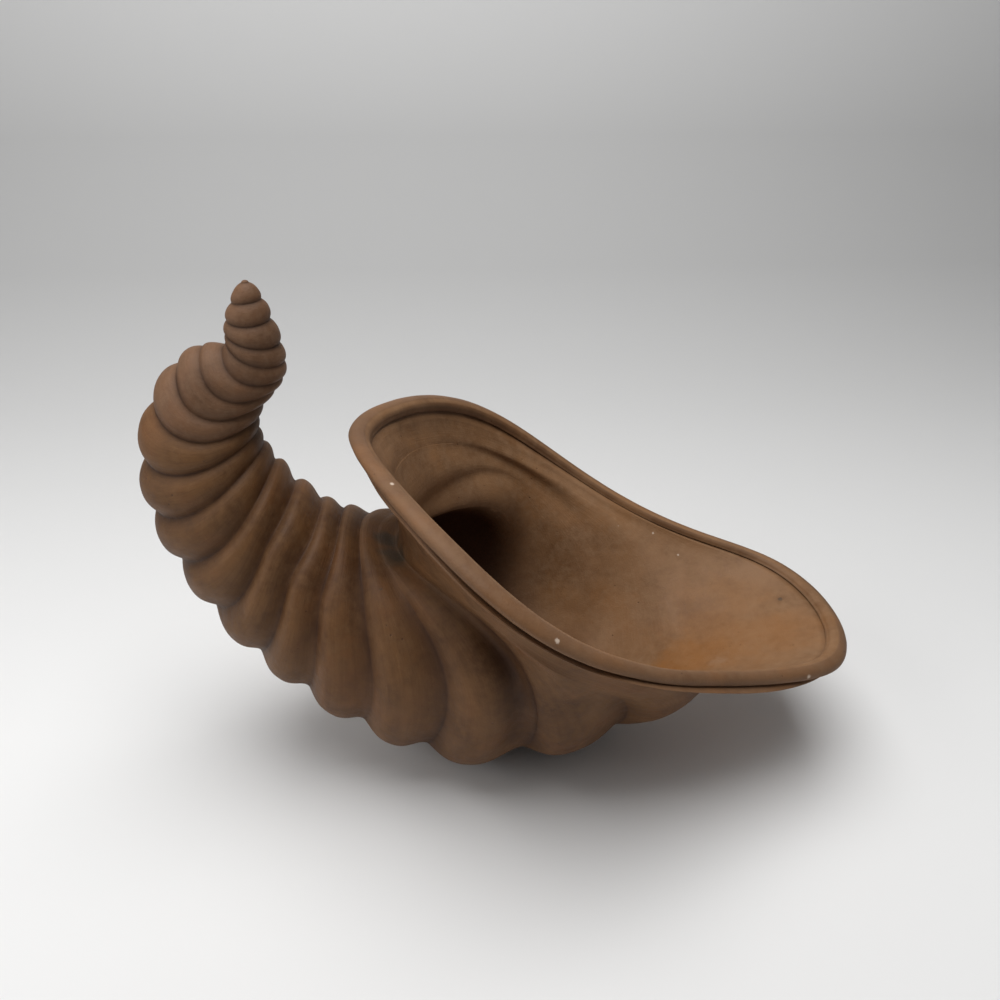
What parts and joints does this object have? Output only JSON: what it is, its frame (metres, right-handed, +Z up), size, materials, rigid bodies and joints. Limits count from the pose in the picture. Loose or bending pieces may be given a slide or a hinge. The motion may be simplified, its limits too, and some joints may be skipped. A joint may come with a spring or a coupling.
{
  "type": "cornucopia vase",
  "caption": "Coiled clay horn-of-plenty vase lying on its ribbed belly, with an upturned tail and a wide slanted open mouth with a rolled rim.",
  "frame": {"origin": "on the floor, under the middle of the bounding box", "axes": "+X towards the lip of the mouth, +Z up, the horn is mirrored across the plane y = 0"},
  "size_m": [0.337, 0.199, 0.2433],
  "materials": {
    "tail_clay": "matt, unglazed, brown-stained",
    "belly_clay": "matt, unglazed, brown-stained",
    "mouth_clay": "matt, unglazed, brown-stained"
  },
  "bodies": {
    "root": {"tail_coil_01": "tail_clay", "tail_coil_02": "tail_clay", "tail_coil_03": "tail_clay", "tail_coil_04": "tail_clay", "tail_coil_05": "tail_clay", "tail_coil_06": "tail_clay", "tail_coil_07": "tail_clay", "tail_coil_08": "tail_clay", "back_coil_09": "belly_clay", "back_coil_10": "belly_clay", "back_coil_11": "belly_clay", "back_coil_12": "belly_clay", "back_coil_13": "belly_clay", "belly_coil_14": "belly_clay", "belly_coil_15": "belly_clay", "belly_coil_16": "belly_clay", "belly_coil_17": "belly_clay", "belly_coil_18": "belly_clay", "belly_coil_19": "belly_clay", "mouth_flare": "mouth_clay", "rim_bead": "mouth_clay"}
  },
  "joints": []
}
